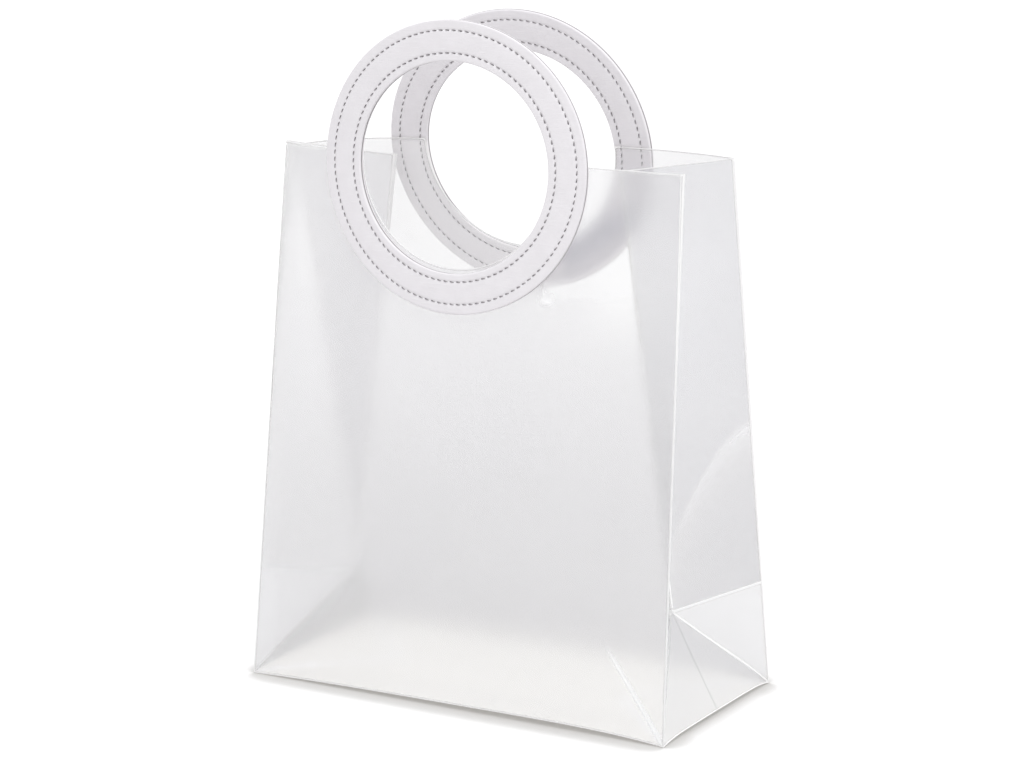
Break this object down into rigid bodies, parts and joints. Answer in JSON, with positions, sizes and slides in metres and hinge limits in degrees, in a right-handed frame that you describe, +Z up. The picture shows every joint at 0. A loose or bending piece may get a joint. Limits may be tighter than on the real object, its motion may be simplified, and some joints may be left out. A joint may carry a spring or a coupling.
{
  "type": "carrier bag",
  "caption": "Frosted translucent film carrier bag with a block bottom, inward-folded side gussets and round stitched leather ring handles on its front and back panels.",
  "frame": {"origin": "middle of the base, on the surface that the bag stands on", "axes": "+Z up through the mouth, +Y from the front panel to the back panel, +X along the panels' width"},
  "size_m": [0.22, 0.1, 0.3101],
  "materials": {
    "film": "frosted translucent polypropylene film, soft sheen, brighter along its folds",
    "ring_leather": "matt off-white coated leather with a fine crossed grain and a faint lilac cast",
    "stitch_thread": "fine mid-grey sewing thread"
  },
  "bodies": {
    "root": {"bag_body": "film", "front_ring_inner_leather": "ring_leather", "front_ring_outer_leather": "ring_leather", "back_ring_inner_leather": "ring_leather", "back_ring_outer_leather": "ring_leather", "front_ring_outer_row_thread_inside": "stitch_thread", "front_ring_outer_row_thread_outside": "stitch_thread", "front_ring_inner_row_thread_inside": "stitch_thread", "front_ring_inner_row_thread_outside": "stitch_thread", "back_ring_outer_row_thread_inside": "stitch_thread", "back_ring_outer_row_thread_outside": "stitch_thread", "back_ring_inner_row_thread_inside": "stitch_thread", "back_ring_inner_row_thread_outside": "stitch_thread"}
  },
  "joints": []
}
